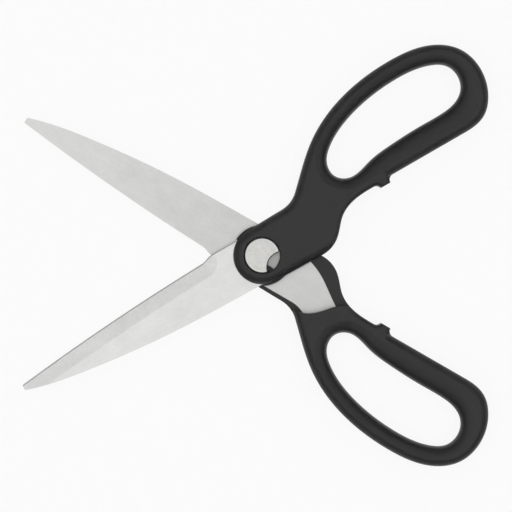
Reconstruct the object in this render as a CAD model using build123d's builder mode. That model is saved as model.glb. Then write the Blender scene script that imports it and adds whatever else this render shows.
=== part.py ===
from build123d import *
import math
import os

os.makedirs("parts", exist_ok=True)

# Take-apart kitchen shears, lying open on their flat backs, with +Z up and the origin
# on the pivot's axis in the plane of those backs. Millimetres and degrees.
# Both halves are alike, and each is drawn in its own frame: pivot at the origin,
# handle along +X with the finger loop on +Y, blade along -X, and the flat inner face
# of the blade just above Z = 0. The rear half is that same half turned over about X,
# so that the two inner faces meet.

opening = 60.0  # angle between the two handles as the shears lie
blade_gap = 0.1  # running gap between the two inner faces
overrun = 2.0  # how far cuts run past what they cut

# Blades
blade_reach = 107.3  # pivot to tip
blade_width = 20.0  # across the blade beside the pivot
blade_thickness = 2.5
blade_set = 0.38  # each blade stands this many degrees off its handle's line
tip_corner = 0.6
bevel_width = 5.8
bevel_land = 0.95  # thickness that the wide bevel leaves
honed_width = 0.5  # narrow honed bevel along the edge
edge_land = 0.2  # thickness that it leaves
ricasso_length = 22.0  # pivot to the start of the ground edge
ricasso_step = 4.8  # length of the curved step there
ground_drop = 1.2  # the ground edge starts this far inside the blade's width

# Tang, let into the inner face of the handle
tang_reach = 36.6
lock_hole_radius = 1.4

# Handles
handle_reach = 111.07  # pivot to the far end of the loop
handle_rise = 41.3  # pivot line to the top of the loop
handle_thickness = 11.0
hub_wall = 1.4  # moulding round the blade's disc
shank_wall = 1.7  # moulding beside the blade's edges
limb_offset = 1.95  # the inner limb's straight edge stands this far off the pivot line
throat_offset = 1.4  # and the throat's end, beside the stop, this far
outer_round = 1.8  # along the throat
shoulder_radius = 3.58  # the wider rounding of hub, shank and loop along their outside
shoulder_inset = 3.52  # middle of that rounding, in from the side and from the face
skirt_wall = 0.6  # the skirt that wraps the blade stands this far out from the hub
skirt_start = 5.5  # it begins this far towards the tip

# Finger loop: its limbs beside the hole
far_limb = 9.02
top_limb = 7.47
throat_limb = 7.4
wall_band = 2.4  # height of the hole's wall between the flares to the two faces

# Closing stop
stop_offset = 2.1  # from the throat's end to its face
stop_face = 4.3
stop_foot = 2.3  # its other side's curve, along the limb
stop_reach = 0.4  # past the pivot line
stop_round = 0.4

# Pivot
steel_ring = 2.2  # steel left round the hole in the front blade
liner = 0.8  # moulding inside that hole, whose bore is the hub's ring
ring_chamfer = 0.4
head_clearance = 0.05
head_recess = 0.5
head_chamfer = 0.35
lug_place = 9.4  # pivot to the middle of the round bite
bite_radius = 6.2
bite_corner = 0.5
lug_clearance = 0.15
lug_thickness = 1.9
lug_play = 0.1
release_angle = 120.0  # opening at which the lug meets the bite
stem_radius = 3.1
stem_fit = 0.01
tail_radius = 4.6
tail_thickness = 0.8
tail_round = 0.5

step_gap = 0.3  # between one half and the step of the other, when closed

inner_face = blade_gap / 2
outer_face = inner_face + blade_thickness
handle_back = handle_thickness / 2
blade_edge = blade_width / 2
hub_radius = blade_edge + hub_wall
skirt_radius = hub_radius + skirt_wall
ring_radius = blade_edge - steel_ring - liner
shank_width = blade_width + 2 * shank_wall
shank_edge = shank_width / 2

# Outlines, as shares of the sizes that they follow.
# Handle: x of its reach, y of its rise.
shank_end_share = 0.138
loop_foot_share = (0.2125, 0.363)
loop_shares = (
    (0.360, 0.7215),
    (0.495, 0.902),
    (0.630, 0.9835),
    (0.740, 1.0),
    (0.855, 0.9635),
    (0.927, 0.8755),
    (0.9735, 0.750),
    (1.0, 0.507),
    (0.9735, 0.2285),
    (0.927, 0.0955),
)
limb_end_share = 0.845
throat_end_share = 0.465
# Throat, the shank's inner edge: x of the reach, y of the shank's width.
throat_start_share = 0.189
throat_shares = ((0.252, -0.409), (0.288, -0.246), (0.315, -0.110), (0.360, 0.006))
# Loop hole: x of its length, y of its height.
loop_start_share = 0.357
hole_shares = (
    (0.0, 0.255),
    (0.020, 0.440),
    (0.085, 0.608),
    (0.246, 0.823),
    (0.406, 0.936),
    (0.646, 1.0),
    (0.807, 0.970),
    (0.887, 0.913),
    (0.967, 0.785),
    (1.0, 0.553),
    (0.967, 0.309),
    (0.887, 0.180),
    (0.807, 0.146),
    (0.646, 0.1425),
    (0.406, 0.118),
    (0.246, 0.063),
    (0.085, 0.0),
    (0.030, 0.078),
)
# The rim of its flare in each face, point for point: x of the handle's reach, y of its rise.
rim_shares = (
    (0.317, 0.370),
    (0.333, 0.545),
    (0.380, 0.687),
    (0.4785, 0.827),
    (0.577, 0.9055),
    (0.7185, 0.9475),
    (0.817, 0.931),
    (0.876, 0.891),
    (0.9425, 0.782),
    (0.980, 0.547),
    (0.957, 0.2905),
    (0.884, 0.1405),
    (0.8165, 0.128),
    (0.722, 0.127),
    (0.590, 0.122),
    (0.502, 0.1295),
    (0.4025, 0.115),
    (0.344, 0.203),
)
# Blade: x of its reach, y of its width.
edge_middle_share = (-0.559, 0.3395)
tip_share = 0.112
spine_shares = ((-0.932, -0.105), (-0.7456, -0.281), (-0.466, -0.434), (-0.187, -0.488))
# Tang: x of its reach, y of the blade's width.
tang_inner_shares = ((0.273, -0.440), (0.492, -0.366), (0.683, -0.208), (0.820, -0.033))
tang_end_shares = ((0.940, 0.120), (1.0, 0.300), (0.930, 0.530), (0.765, 0.690))
tang_outer_shares = ((0.656, 0.550), (0.519, 0.500))
lock_hole_share = (0.880, 0.470)

pivot_frame = Plane.XY.offset(handle_back)
front_frame = pivot_frame.rotated((0, 0, opening / 2))
rear_x = (math.cos(math.radians(opening / 2)), -math.sin(math.radians(opening / 2)), 0)
rear_frame = Plane(origin=pivot_frame.origin, x_dir=rear_x, z_dir=(0, 0, -1))

loop_start = loop_start_share * handle_reach
loop_end = handle_reach - far_limb
loop_bottom = limb_offset + throat_limb
loop_top = handle_rise - top_limb
face_turn = 80.0  # degrees round the flare's ellipse at which it meets the face
flare_turns = (0, 30, 55, face_turn, 90)
throat_end = (throat_end_share * handle_reach, throat_offset)
stop_right = throat_end[0] + stop_offset + stop_face
foot_end = (stop_right + stop_foot, limb_offset)


def spread(shares, length, width, start=0.0, base=0.0):
    """Points at these shares of a length and a width."""
    return [(start + x * length, base + y * width) for x, y in shares]


def ground_blade():
    """The blade from pivot to tip: flat inside, ground to an edge on its +Y side."""
    with BuildPart() as blade:
        with BuildSketch(Plane.XY.offset(inner_face)) as outline:
            with BuildLine():
                edge_start = (-ricasso_length, blade_edge - ground_drop)
                edge_middle = spread([edge_middle_share], blade_reach, blade_width)[0]
                tip = (-blade_reach, tip_share * blade_width)
                edge = ThreePointArc(edge_start, edge_middle, tip)
                tip_line = Line(tip, (-blade_reach, 0))
                spine_points = spread(spine_shares, blade_reach, blade_width)
                spine = Spline(tip_line @ 1, *spine_points, (0, -blade_edge))
                Line(spine @ 1, (0, blade_edge))
                ricasso = Line((0, blade_edge), (ricasso_step - ricasso_length, blade_edge))
                Spline(ricasso @ 1, edge @ 0, tangents=(ricasso % 1, edge % 0))
            make_face()
            fillet(outline.vertices().group_by(Axis.X)[0], tip_corner)
        extrude(amount=blade_thickness)
        # The grinding runs along the edge, past the tip, and ends in a cone at the ricasso.
        with BuildLine(Plane.XY.offset(inner_face)) as grind_path:
            grind = ThreePointArc(edge_start, edge_middle, tip)
            PolarLine(grind @ 1, overrun, direction=grind % 1)
        inward = (grind % 0).cross(Vector(0, 0, -1))
        across = Plane(origin=grind @ 0, x_dir=inward, z_dir=grind % 0)
        with BuildSketch(across):
            Polygon(*ground_profile(-overrun), align=None)
        sweep(path=grind_path.wires()[0], mode=Mode.SUBTRACT)
        with BuildSketch(across):
            Polygon(*ground_profile(0), align=None)
        revolve(axis=Axis(grind @ 0, (0, 0, 1)), mode=Mode.SUBTRACT)
    return blade.part


def ground_profile(outside):
    """What the grinding takes off: x inward from the edge, y up from the inner face."""
    return [
        (outside, edge_land),
        (0, edge_land),
        (honed_width, bevel_land),
        (bevel_width, blade_thickness),
        (bevel_width, blade_thickness + overrun),
        (outside, blade_thickness + overrun),
    ]


def blade_and_tang(blade_turn, bore_radius):
    """One steel piece: the ground blade, the disc round the pivot and the tang."""
    with BuildPart() as steel:
        add(ground_blade(), rotation=(0, 0, blade_turn))
        with BuildSketch(Plane.XY.offset(inner_face)):
            Circle(blade_edge)
            with BuildLine():
                inner_points = spread(tang_inner_shares, tang_reach, blade_width)
                end_points = spread(tang_end_shares, tang_reach, blade_width)
                outer_points = spread(tang_outer_shares, tang_reach, blade_width)
                inner = Spline((0, -blade_edge), *inner_points, end_points[0])
                end = Spline(*end_points)
                outer = Spline(end @ 1, *outer_points)
                Line(outer @ 1, (0, blade_edge))
                Line((0, blade_edge), inner @ 0)
            make_face()
            with Locations(*spread([lock_hole_share], tang_reach, blade_width)):
                Circle(lock_hole_radius, mode=Mode.SUBTRACT)
        extrude(amount=blade_thickness)
        with BuildSketch(Plane.XY.offset(inner_face)):
            Circle(bore_radius)
        extrude(amount=blade_thickness, mode=Mode.SUBTRACT)
    return steel.part


def throat_points():
    """The shank's inner edge, from the straight shank to the stop."""
    start = (throat_start_share * handle_reach, -shank_edge)
    middle = spread(throat_shares, handle_reach, shank_width)
    return [start, *middle, throat_end]


def outer_side():
    """The outline from the throat round the hub, the shank and the loop to the stop."""
    with BuildLine() as side:
        hub = CenterArc((0, 0), hub_radius, 90, 180)
        Spline(hub @ 1, throat_points()[0], tangents=((1, 0), (1, 0)))
        shank_end = (shank_end_share * handle_reach, shank_edge)
        Spline(shank_end, hub @ 0, tangents=((-1, 0), (-1, 0)))
        loop_foot = spread([loop_foot_share], handle_reach, handle_rise)[0]
        foot = TangentArc(shank_end, loop_foot, tangent=(1, 0))
        limb = Line(foot_end, (limb_end_share * handle_reach, limb_offset))
        Spline(
            limb @ 1,
            *spread(reversed(loop_shares), handle_reach, handle_rise),
            foot @ 1,
            tangents=((1, 0), -(foot % 1)),
            tangent_scalars=(1, 1),
        )
    return side.line


def stop_side():
    """Outline of the stop under the inner limb, whose face meets the other handle's."""
    with BuildLine() as side:
        face = Line((stop_right - stop_face, -stop_reach), (stop_right, -stop_reach))
        TangentArc(throat_end, face @ 0, tangent=(1, 0))
        TangentArc(foot_end, face @ 1, tangent=(-1, 0))
    return side.line


def handle_body():
    """Hub, shank and finger loop, cut away below the inner face for the other half."""
    with BuildPart() as body:
        with BuildSketch(Plane.XY.offset(-handle_back)):
            with BuildLine():
                add(outer_side())
                add(stop_side())
                Spline(throat_points(), tangents=((1, 0), (1, 0)), tangent_scalars=(1, 1))
            make_face()
        extrude(amount=handle_thickness)
        rims = body.edges().filter_by(Plane.XY)
        stop_rims = rims.filter_by(Axis.X).group_by(Axis.Y)[0]
        fillet(rims - stop_rims, outer_round)
        stop_rims = body.edges().filter_by(Plane.XY).filter_by(Axis.X).group_by(Axis.Y)[0]
        fillet(stop_rims, stop_round)
        add(shoulder_cut(), mode=Mode.SUBTRACT)
        add(loop_hole(), mode=Mode.SUBTRACT)
        # The shank of the other half lies below, up to a step that follows its throat.
        with BuildSketch(Plane.XY.offset(inner_face)):
            with BuildLine():
                step_points = [(x + step_gap, step_gap - y) for x, y in throat_points()]
                step = Spline(step_points)
                left = -hub_radius - overrun
                below = -shank_width
                above = handle_rise
                Polyline(
                    step @ 1,
                    ((step @ 1).X, below),
                    (left, below),
                    (left, above),
                    ((step @ 0).X, above),
                    step @ 0,
                )
            make_face()
        extrude(amount=-(handle_back + blade_gap), mode=Mode.SUBTRACT)
        # The skirt wraps the edges of the blade beside the hub.
        with BuildSketch(Plane.XY.offset(inner_face)):
            Circle(skirt_radius)
            with Locations((-skirt_start, 0)):
                tip_side = (Align.MAX, Align.CENTER)
                Rectangle(skirt_radius, shank_width + overrun, align=tip_side, mode=Mode.SUBTRACT)
        extrude(amount=blade_thickness)
    return body.part


def hole_points(growth):
    """The hole's outline, this share of the way from its wall to its flare's rim."""
    length = loop_end - loop_start
    wall = spread(hole_shares, length, loop_top - loop_bottom, loop_start, loop_bottom)
    rim = spread(rim_shares, handle_reach, handle_rise)
    return [Vector(start) * (1 - growth) + Vector(end) * growth for start, end in zip(wall, rim)]


def loop_hole():
    """What the loop's hole takes out: a short wall, flared to both faces by quarter ellipses."""
    with BuildPart() as hole:
        for side in (-1, 1):
            for turn in flare_turns[::side]:
                rise = math.sin(math.radians(turn)) / math.sin(math.radians(face_turn))
                growth = (1 - math.cos(math.radians(turn))) / (1 - math.cos(math.radians(face_turn)))
                height = wall_band / 2 + rise * (handle_back - wall_band / 2)
                with BuildSketch(Plane.XY.offset(side * height)):
                    with BuildLine():
                        Spline(hole_points(growth), periodic=True)
                    make_face()
        loft()
    return hole.part


def shoulder_cut():
    """What the wider rounding takes off, round the outside from the throat to the stop."""
    with BuildPart() as cut:
        with BuildLine() as path:
            add(outer_side())
            throat_start = throat_points()[0]
            Line(throat_start, (throat_end[0], throat_start[1]))
            Line(foot_end, (stop_right, limb_offset))
        rounding = path.wires()[0]
        inward = Vector(0, 0, 1).cross(rounding % 0)
        with BuildSketch(Plane(origin=rounding @ 0, x_dir=inward, z_dir=-(rounding % 0))):
            with Locations((-overrun, -overrun)):
                corner = (Align.MIN, Align.MIN)
                Rectangle(shoulder_inset + overrun, shoulder_inset + overrun, align=corner)
            with Locations((shoulder_inset, shoulder_inset)):
                Circle(shoulder_radius, mode=Mode.SUBTRACT)
        sweep(path=rounding)
    with BuildPart() as both_faces:
        with Locations((0, 0, handle_back)):
            add(cut.part)
        mirror(about=Plane.XY)
    return both_faces.part


def handle(steel):
    """The moulding with its steel piece's own shape taken out of it."""
    with BuildPart() as moulding:
        add(handle_body())
        add(steel, mode=Mode.SUBTRACT)
        with BuildSketch(Plane.XY.offset(inner_face)):
            Circle(ring_radius)
        extrude(amount=handle_back, mode=Mode.SUBTRACT)
        ring = moulding.edges().filter_by(GeomType.CIRCLE).group_by(Axis.Z)[-1]
        chamfer(ring.sort_by_distance(Plane.XY.origin)[0], ring_chamfer)
    return moulding.part


# Front blade
front_steel = blade_and_tang(-blade_set, ring_radius + liner)
with BuildPart(front_frame) as front_blade:
    add(front_steel)
front_blade.part.label = "front_blade"
export_step(front_blade.part, "parts/front_blade.step")

# Front handle, whose lug hooks under the stud's head
front_moulding = handle(front_steel)
with BuildPart(front_frame) as front_handle:
    add(front_moulding)
    with BuildSketch(front_frame.offset(inner_face)):
        with PolarLocations(lug_place, 1, start_angle=-release_angle):
            Circle(bite_radius - lug_clearance)
        Circle(ring_radius + liner / 2, mode=Mode.INTERSECT)
    extrude(amount=lug_thickness)
front_handle.part.label = "front_handle"
export_step(front_handle.part, "parts/front_handle.step")

# Rear blade
rear_steel = blade_and_tang(blade_set, stem_radius + stem_fit)
with BuildPart(rear_frame) as rear_blade:
    add(rear_steel)
rear_blade.part.label = "rear_blade"
export_step(rear_blade.part, "parts/rear_blade.step")

# Rear handle
with BuildPart(rear_frame) as rear_handle:
    add(handle(rear_steel))
rear_handle.part.label = "rear_handle"
export_step(rear_handle.part, "parts/rear_handle.step")

# Pivot stud, riveted to the rear blade, with a round bite in its head
head_base = inner_face + lug_thickness + lug_play
head_top = handle_back - head_recess
with BuildPart() as pivot_stud:
    with BuildSketch(pivot_frame.offset(-outer_face)):
        Circle(tail_radius)
    extrude(amount=-tail_thickness)
    fillet(pivot_stud.edges().group_by(Axis.Z)[0], tail_round)
    with BuildSketch(pivot_frame.offset(-outer_face)):
        Circle(stem_radius)
    extrude(amount=outer_face + head_base)
    with BuildSketch(pivot_frame.offset(head_base)) as head:
        Circle(ring_radius - head_clearance)
        with PolarLocations(lug_place, 1, start_angle=-opening / 2):
            Circle(bite_radius, mode=Mode.SUBTRACT)
        fillet(head.vertices(), bite_corner)
    extrude(amount=head_top - head_base)
    chamfer(pivot_stud.edges().group_by(Axis.Z)[-1], head_chamfer)
pivot_stud.part.label = "pivot_stud"
export_step(pivot_stud.part, "parts/pivot_stud.step")
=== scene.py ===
import math

import bpy
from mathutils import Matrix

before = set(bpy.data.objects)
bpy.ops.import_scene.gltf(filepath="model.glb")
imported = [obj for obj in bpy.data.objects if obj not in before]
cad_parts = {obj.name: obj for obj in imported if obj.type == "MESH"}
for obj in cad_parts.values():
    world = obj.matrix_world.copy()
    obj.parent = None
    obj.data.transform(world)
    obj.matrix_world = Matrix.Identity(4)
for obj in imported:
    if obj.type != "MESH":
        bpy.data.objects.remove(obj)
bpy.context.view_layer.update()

# Rear blade
# One piece of stainless steel, blanked from 2.5 mm sheet with its tang. The inner face is
# ground lengthways and looks up here. Round the stem it is darkened with painted shade, the shade
# of the recess under the stud's head.
blade_turn = 29.62  # each blade stands this many degrees off the line between the handles
inner_tone = (0.59, 0.59, 0.58)
# painted light: the bevel is painted lighter than the flats, for the light it catches
bevel_lit_tone = (0.73, 0.73, 0.72)
# the honed facet is painted dark, as a painted dark line along the cutting edge
honed_shade_tone = (0.36, 0.36, 0.36)
edge_shade_tone = (0.28, 0.28, 0.28)  # painted shade: the blanked rim, which is also duller, and a band along the ricasso's step are painted dark as lines of shade along the blades' edges

bevel_lean = 0.96  # how far each face leans: 1 lies flat and 0 stands upright
bevel_play = 0.018
honed_lean = 0.556
honed_play = 0.2
rim_lean = 0.3
flat_lean = 0.9

ground_start = 0.022  # pivot to the start of the ground edge
ground_edge = 0.0088  # half width of the blade there
ricasso_edge = 0.0100  # and past the step, along the ricasso
ricasso_step = 0.0048  # length of that step
ricasso_band_width = 0.00035  # width of the band along the ricasso's step that is painted dark

grain_share = 0.6  # how strong each finer layer of noise stays
grind_line = 0.00035  # width of a grinding line
grind_stretch = 60
cross_line = 3 * grind_line  # across the bevel
cross_stretch = 0.14
cloud_size = 0.006
cloud_stretch = 1.6
speckle_size = 0.0011
speckle_stretch = 1.4
grind_depth = 0.12  # how much each of these shades the steel
cross_depth = 0.32  # and how much more the lines across the bevel do
cloud_depth = 0.18
speckle_depth = 0.13
steel_level = 0.845  # share of its tone, before these shade it
groove_depth = 0.000012
groove_strength = 0.5

steel_rough = 0.32
ridge_rough = 0.10  # added on the ridges between the grooves
bevel_rough = 0.06
rim_rough = 0.15

# painted shade round the stem, under the stud's head
stem_shade_radius = 0.0085
stem_shade_core_share = 0.55  # of that radius, inside which the painted shade is darkest
stem_shade_share = 0.72  # how bright the painted shade leaves the steel there
tip_reach = -0.105  # painted shade: from here out to the tip the steel is painted a touch lighter
tang_reach = 0.015  # and painted darkest from here on, along the tang, as the handle's shade
tip_share = 1.03
inner_tang_share = 0.9  # how bright the painted shade leaves the inner face along the tang


def wire(tree, start, end):
    tree.links.new(start, end)


def node(tree, kind, **settings):
    """A new shader node with these settings."""
    made = tree.nodes.new("ShaderNode" + kind)
    for key, value in settings.items():
        setattr(made, key, value)
    return made


def number(tree, operation, *values, clamp=False):
    """A Math node on these values, each a number or another node's output."""
    made = node(tree, "Math", operation=operation, use_clamp=clamp)
    for socket, value in zip(made.inputs, values):
        if isinstance(value, bpy.types.NodeSocket):
            wire(tree, value, socket)
        else:
            socket.default_value = value
    return made.outputs[0]


def grain(tree, place, size, stretch=1, turn=0, detail=4):
    """Noise of this size in metres, drawn out by stretch along the turned X axis; 0 to 1."""
    mapping = node(tree, "Mapping")
    mapping.inputs["Rotation"].default_value = (0, 0, math.radians(turn))
    spread = node(tree, "Mapping")
    spread.inputs["Scale"].default_value = (1 / (size * stretch), 1 / size, 1 / size)
    noise = node(tree, "TexNoise")
    noise.inputs["Scale"].default_value = 1
    noise.inputs["Detail"].default_value = detail
    noise.inputs["Roughness"].default_value = grain_share
    wire(tree, place, mapping.inputs["Vector"])
    wire(tree, mapping.outputs["Vector"], spread.inputs["Vector"])
    wire(tree, spread.outputs["Vector"], noise.inputs["Vector"])
    return noise.outputs["Fac"]


def toned(tree, tone, shade):
    """This colour or output, brightened or darkened by shade, where 1 leaves it as it is."""
    scaled = node(tree, "VectorMath", operation="SCALE")
    if isinstance(tone, bpy.types.NodeSocket):
        wire(tree, tone, scaled.inputs[0])
    else:
        scaled.inputs[0].default_value = tone
    wire(tree, shade, scaled.inputs["Scale"])
    return scaled.outputs[0]


def mixed(tree, share, first, second):
    """The first colour where share is 0, the second where it is 1."""
    mix = node(tree, "Mix", data_type="RGBA")
    wire(tree, share, mix.inputs["Factor"])
    for key, colour in (("A", first), ("B", second)):
        if isinstance(colour, bpy.types.NodeSocket):
            wire(tree, colour, mix.inputs[key])
        else:
            mix.inputs[key].default_value = (*colour, 1)
    return mix.outputs["Result"]


def ramp(tree, value, start, end, first, second):
    """Goes softly from first to second as value goes from start to end."""
    rise = node(tree, "MapRange", interpolation_type="SMOOTHSTEP")
    wire(tree, value, rise.inputs["Value"])
    limits = (("From Min", start), ("From Max", end), ("To Min", first), ("To Max", second))
    for key, limit in limits:
        rise.inputs[key].default_value = limit
    return rise.outputs["Result"]


def bumped(tree, height, strength, distance, below=None):
    """A normal raised by height, over the one below where there is one."""
    bump = node(tree, "Bump")
    bump.inputs["Strength"].default_value = strength
    bump.inputs["Distance"].default_value = distance
    wire(tree, height, bump.inputs["Height"])
    if below:
        wire(tree, below, bump.inputs["Normal"])
    return bump.outputs["Normal"]


def ricasso_shade_band(tree, place, reach, sideways, side):
    """1 on a thin band along the ricasso's step, on the outer face, which is painted dark as a line
    of shade.
    """
    height = number(tree, "MULTIPLY", sideways, side)
    top = ramp(tree, reach, -ground_start, ricasso_step - ground_start, ground_edge, ricasso_edge)
    in_band = number(tree, "GREATER_THAN", height, number(tree, "SUBTRACT", top, ricasso_band_width))
    past_grind = number(tree, "GREATER_THAN", reach, -ground_start)
    lean = node(tree, "SeparateXYZ")
    wire(tree, place.outputs["Normal"], lean.inputs[0])
    outwards = number(tree, "MULTIPLY", lean.outputs["Z"], side)
    outside = number(tree, "GREATER_THAN", outwards, flat_lean)
    return number(tree, "MULTIPLY", number(tree, "MULTIPLY", in_band, past_grind), outside)


def ground_steel(name, turn, side, flat_tone, tang_share):
    """Blade steel: ground lengthways, its bevel ground across and painted lighter, its edge honed
    and its rim blanked, both painted dark, with painted shade along the tang and round the stem.
    """
    finish = bpy.data.materials.new(name)
    finish.use_nodes = True
    tree = finish.node_tree
    shader = tree.nodes["Principled BSDF"]
    shader.inputs["Metallic"].default_value = 1
    place = node(tree, "TexCoord")
    lean = node(tree, "SeparateXYZ")
    wire(tree, place.outputs["Normal"], lean.inputs[0])
    steep = number(tree, "ABSOLUTE", lean.outputs["Z"])
    on_bevel = number(tree, "COMPARE", steep, bevel_lean, bevel_play)
    on_hone = number(tree, "COMPARE", steep, honed_lean, honed_play)
    on_rim = number(tree, "LESS_THAN", steep, rim_lean)

    # Along the blade, reach runs from the pivot: less than 0 to the tip, more to the tang.
    turned = node(tree, "Mapping")
    turned.inputs["Rotation"].default_value = (0, 0, math.radians(turn))
    wire(tree, place.outputs["Object"], turned.inputs["Vector"])
    spot = node(tree, "SeparateXYZ")
    wire(tree, turned.outputs["Vector"], spot.inputs[0])
    reach = spot.outputs["X"]
    ricasso_band = ricasso_shade_band(tree, place, reach, spot.outputs["Y"], side)

    along = grain(tree, place.outputs["Object"], grind_line, grind_stretch, turn)
    across = grain(tree, place.outputs["Object"], cross_line, cross_stretch, turn)
    cloud = grain(tree, place.outputs["Object"], cloud_size, cloud_stretch, turn, detail=2)
    speckle = grain(tree, place.outputs["Object"], speckle_size, speckle_stretch, turn, detail=3)
    groove = node(tree, "Mix", data_type="FLOAT")
    wire(tree, on_bevel, groove.inputs["Factor"])
    wire(tree, along, groove.inputs["A"])
    wire(tree, across, groove.inputs["B"])
    groove = groove.outputs["Result"]
    depth = number(tree, "MULTIPLY_ADD", on_bevel, cross_depth, grind_depth)
    above_middle = number(tree, "SUBTRACT", groove, 0.5)
    shade = number(tree, "MULTIPLY_ADD", above_middle, depth, steel_level)
    shade = number(tree, "MULTIPLY_ADD", cloud, cloud_depth, shade)
    shade = number(tree, "MULTIPLY_ADD", speckle, speckle_depth, shade)

    # Round the stem, under the bite in the stud's head, the steel is darkened with painted shade,
    # the shade of that recess.
    level = node(tree, "VectorMath", operation="MULTIPLY")
    level.inputs[1].default_value = (1, 1, 0)
    wire(tree, place.outputs["Object"], level.inputs[0])
    bore = node(tree, "VectorMath", operation="LENGTH")
    wire(tree, level.outputs[0], bore.inputs[0])
    core = stem_shade_core_share * stem_shade_radius
    stem_shade = ramp(tree, bore.outputs["Value"], stem_shade_radius, core, 1, stem_shade_share)
    # Painted shade: a touch lighter at the tip and darker towards the tang, where the handle shades
    # the steel.
    tip_to_tang_shade = ramp(tree, reach, tip_reach, tang_reach, tip_share, tang_share)
    shade = number(tree, "MULTIPLY", number(tree, "MULTIPLY", shade, stem_shade), tip_to_tang_shade)

    # Painted light and shade: the bevel is painted lighter, and the honed facet, the blanked rim
    # and the ricasso's band are painted dark.
    tone = mixed(tree, on_bevel, flat_tone, bevel_lit_tone)
    tone = mixed(tree, on_hone, tone, honed_shade_tone)
    tone = mixed(tree, on_rim, tone, edge_shade_tone)
    tone = mixed(tree, ricasso_band, tone, edge_shade_tone)
    wire(tree, toned(tree, tone, shade), shader.inputs["Base Color"])
    rough = number(tree, "MULTIPLY_ADD", groove, ridge_rough, steel_rough)
    rough = number(tree, "MULTIPLY_ADD", on_bevel, bevel_rough, rough)
    rough = number(tree, "MULTIPLY_ADD", on_rim, rim_rough, rough)
    wire(tree, rough, shader.inputs["Roughness"])
    grooved = bumped(tree, groove, groove_strength, groove_depth)
    wire(tree, grooved, shader.inputs["Normal"])
    return finish


rear_finish = ground_steel("rear_blade_steel", blade_turn, -1, inner_tone, inner_tang_share)
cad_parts["rear_blade"].material_slots[0].material = rear_finish

# Rear handle
# Black plastic, moulded in one shot round the tang, with its parting line at mid height.
# The moulding has a fine even texture and is a little glossier where hands have rubbed it.
plastic_tone = (0.0115, 0.0115, 0.0117)
plastic_gloss = 0.42
plastic_rough = 0.33
darkest_plastic = 0.70

texture_size = 0.00022
texture_depth = 0.30  # how much it shades the plastic
texture_rough = 0.10
texture_height = 0.00002
texture_strength = 0.35
fresh_size = 0.012  # patches that hands haven't rubbed
fresh_depth = 0.30
fresh_rough = 0.06

parting_height = 0.0055
parting_width = 0.00015
parting_rise = 0.00006
parting_strength = 0.6


def moulded_plastic(name):
    """Black plastic with a fine moulded texture, rubbed and fresh patches, and a parting line."""
    finish = bpy.data.materials.new(name)
    finish.use_nodes = True
    tree = finish.node_tree
    shader = tree.nodes["Principled BSDF"]
    shader.inputs["Specular IOR Level"].default_value = plastic_gloss
    place = node(tree, "TexCoord")
    texture = grain(tree, place.outputs["Object"], texture_size, detail=3)
    fresh = grain(tree, place.outputs["Object"], fresh_size, detail=2)
    shade = number(tree, "MULTIPLY_ADD", fresh, fresh_depth, darkest_plastic)
    shade = number(tree, "MULTIPLY_ADD", texture, texture_depth, shade)
    wire(tree, toned(tree, plastic_tone, shade), shader.inputs["Base Color"])
    rough = number(tree, "MULTIPLY_ADD", texture, texture_rough, plastic_rough)
    rough = number(tree, "MULTIPLY_ADD", fresh, fresh_rough, rough)
    wire(tree, rough, shader.inputs["Roughness"])

    where = node(tree, "SeparateXYZ")
    wire(tree, place.outputs["Object"], where.inputs[0])
    off_line = number(tree, "SUBTRACT", where.outputs["Z"], parting_height)
    off_line = number(tree, "DIVIDE", number(tree, "ABSOLUTE", off_line), parting_width)
    ridge = number(tree, "SUBTRACT", 1, off_line, clamp=True)
    seam = bumped(tree, ridge, parting_strength, parting_rise)
    skin = bumped(tree, texture, texture_strength, texture_height, below=seam)
    wire(tree, skin, shader.inputs["Normal"])
    return finish


handle_finish = moulded_plastic("handle_plastic")
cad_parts["rear_handle"].material_slots[0].material = handle_finish

# Pivot stud
# Turned from steel rod, with a round bite milled out of its head, and tumbled to a satin
# finish. Its tail is riveted over in the rear blade's back.
stud_tone = (0.55, 0.547, 0.53)
stud_rough = 0.27
darkest_stud = 0.62
turning_pitch = 0.002513  # from one faint turning ring to the next
ring_depth = 0.03
ring_wobble = 1.5
tumbled_size = 0.0007
tumbled_depth = 0.42
tumbled_rough = 0.12
tumbled_height = 0.00002
tumbled_strength = 0.5
stud_cloud_size = 0.003
stud_cloud_depth = 0.30

stud_finish = bpy.data.materials.new("stud_steel")
stud_finish.use_nodes = True
tree = stud_finish.node_tree
shader = tree.nodes["Principled BSDF"]
shader.inputs["Metallic"].default_value = 1
place = node(tree, "TexCoord")
rings = node(tree, "TexWave", wave_type="RINGS", rings_direction="Z")
rings.inputs["Scale"].default_value = math.pi / 10 / turning_pitch  # a ring at 1 is pi/10 wide
rings.inputs["Distortion"].default_value = ring_wobble
rings.inputs["Detail"].default_value = 2
wire(tree, place.outputs["Object"], rings.inputs["Vector"])
tumbled = grain(tree, place.outputs["Object"], tumbled_size)
cloud = grain(tree, place.outputs["Object"], stud_cloud_size, detail=2)
shade = number(tree, "MULTIPLY_ADD", rings.outputs["Fac"], ring_depth, darkest_stud)
shade = number(tree, "MULTIPLY_ADD", tumbled, tumbled_depth, shade)
shade = number(tree, "MULTIPLY_ADD", cloud, stud_cloud_depth, shade)
wire(tree, toned(tree, stud_tone, shade), shader.inputs["Base Color"])
rough = number(tree, "MULTIPLY_ADD", tumbled, tumbled_rough, stud_rough)
wire(tree, rough, shader.inputs["Roughness"])
pitted = bumped(tree, tumbled, tumbled_strength, tumbled_height)
wire(tree, pitted, shader.inputs["Normal"])
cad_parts["pivot_stud"].material_slots[0].material = stud_finish

# Front blade
# The same steel. Its outer face looks up: the flat is brushed lengthways, and the wide bevel
# is ground across it, from the tip to the ricasso.
outer_tone = (0.65, 0.65, 0.64)
outer_tang_share = 1.0

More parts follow.
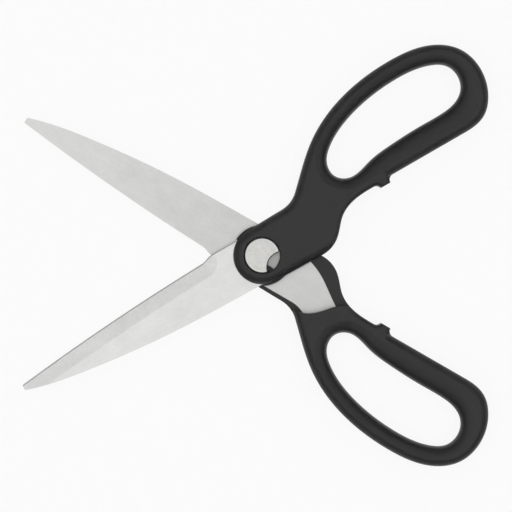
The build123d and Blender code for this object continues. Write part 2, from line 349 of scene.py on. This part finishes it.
front_finish = ground_steel("front_blade_steel", -blade_turn, 1, outer_tone, outer_tang_share)
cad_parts["front_blade"].material_slots[0].material = front_finish

# Front handle
# The same black moulding, in one shot with its ring, which turns on the stud's head, and
# with the lug that hooks under that head.
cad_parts["front_handle"].material_slots[0].material = handle_finish

# White table and curtain
# A matt white table, just under the backs on which the shears lie, and a pale curtain
# round it that leans in towards the softbox.
table_half = 2.5
table_drop = 0.00005
table_tone = (0.9, 0.9, 0.9)
table_glow = 0.9  # the table shows as plain white by this share, and as lit paint by the rest
curtain_top = (1.6, 1.0)
curtain_foot = (2.4, 2.0)
curtain_height = 1.5
curtain_folds = 48
curtain_tone = (0.92, 0.92, 0.92)
matt_rough = 0.9


def matt_white(name, tone, glow_share=0):
    """Matt paint that shows as plain white, but not as light, by this share."""
    finish = bpy.data.materials.new(name)
    finish.use_nodes = True
    tree = finish.node_tree
    paint = tree.nodes["Principled BSDF"]
    paint.inputs["Base Color"].default_value = (*tone, 1)
    paint.inputs["Roughness"].default_value = matt_rough
    paint.inputs["Specular IOR Level"].default_value = 0
    if glow_share:
        rays = node(tree, "LightPath")
        seen = number(tree, "MAXIMUM", rays.outputs["Is Camera Ray"], rays.outputs["Is Glossy Ray"])
        seen = number(tree, "MAXIMUM", seen, rays.outputs["Is Transmission Ray"])
        glow = node(tree, "Emission")
        both = node(tree, "MixShader")
        wire(tree, number(tree, "MULTIPLY", seen, glow_share), both.inputs["Fac"])
        wire(tree, paint.outputs[0], both.inputs[1])
        wire(tree, glow.outputs[0], both.inputs[2])
        wire(tree, both.outputs[0], tree.nodes["Material Output"].inputs["Surface"])
    return finish


table_mesh = bpy.data.meshes.new("white_table")
corners = [(-table_half, -table_half), (table_half, -table_half)]
corners += [(table_half, table_half), (-table_half, table_half)]
table_mesh.from_pydata([(x, y, -table_drop) for x, y in corners], [], [(0, 1, 2, 3)])
table_mesh.materials.append(matt_white("white_table", table_tone, table_glow))
table = bpy.data.objects.new("white_table", table_mesh)
bpy.context.scene.collection.objects.link(table)

curtain_mesh = bpy.data.meshes.new("pale_curtain")
turns = [2 * math.pi * fold / curtain_folds for fold in range(curtain_folds)]
points = [(curtain_foot[0] * math.cos(turn), curtain_foot[1] * math.sin(turn), 0) for turn in turns]
points += [
    (curtain_top[0] * math.cos(turn), curtain_top[1] * math.sin(turn), curtain_height)
    for turn in turns
]
panels = []
for fold in range(curtain_folds):
    beside = (fold + 1) % curtain_folds
    panels.append((fold, curtain_folds + fold, curtain_folds + beside, beside))
curtain_mesh.from_pydata(points, [], panels)
curtain_mesh.materials.append(matt_white("pale_curtain", curtain_tone))
curtain = bpy.data.objects.new("pale_curtain", curtain_mesh)
curtain.visible_camera = False
bpy.context.scene.collection.objects.link(curtain)

# Studio light
# One large softbox straight above, in a white room.
softbox_size = (2.8, 1.8)
softbox_height = 1.5
softbox_power = 3.0
room_light = 1.0

world = bpy.data.worlds.new("studio")
bpy.context.scene.world = world
world.use_nodes = True
room = world.node_tree.nodes["Background"]
room.inputs["Color"].default_value = (1, 1, 1, 1)
room.inputs["Strength"].default_value = room_light

softbox_light = bpy.data.lights.new("softbox", "AREA")
softbox_light.shape = "RECTANGLE"
softbox_light.size, softbox_light.size_y = softbox_size
softbox_light.energy = softbox_power
softbox = bpy.data.objects.new("softbox", softbox_light)
softbox.location = (0, 0, softbox_height)
softbox.visible_camera = False
bpy.context.scene.collection.objects.link(softbox)

# Camera
# Straight above the open shears, as in the photograph.
photo_width = 0.2017  # what the picture takes in, at mid height of the handles
photo_middle = (-0.00242, -0.00022)
camera_distance = 1.1  # above that height
film_width = 36  # in millimetres

camera_data = bpy.data.cameras.new("camera")
camera_data.sensor_width = film_width
camera_data.lens = film_width * camera_distance / photo_width
camera = bpy.data.objects.new("camera", camera_data)
camera.location = (*photo_middle, parting_height + camera_distance)
bpy.context.scene.collection.objects.link(camera)
bpy.context.scene.camera = camera
bpy.context.scene.view_settings.view_transform = "Standard"
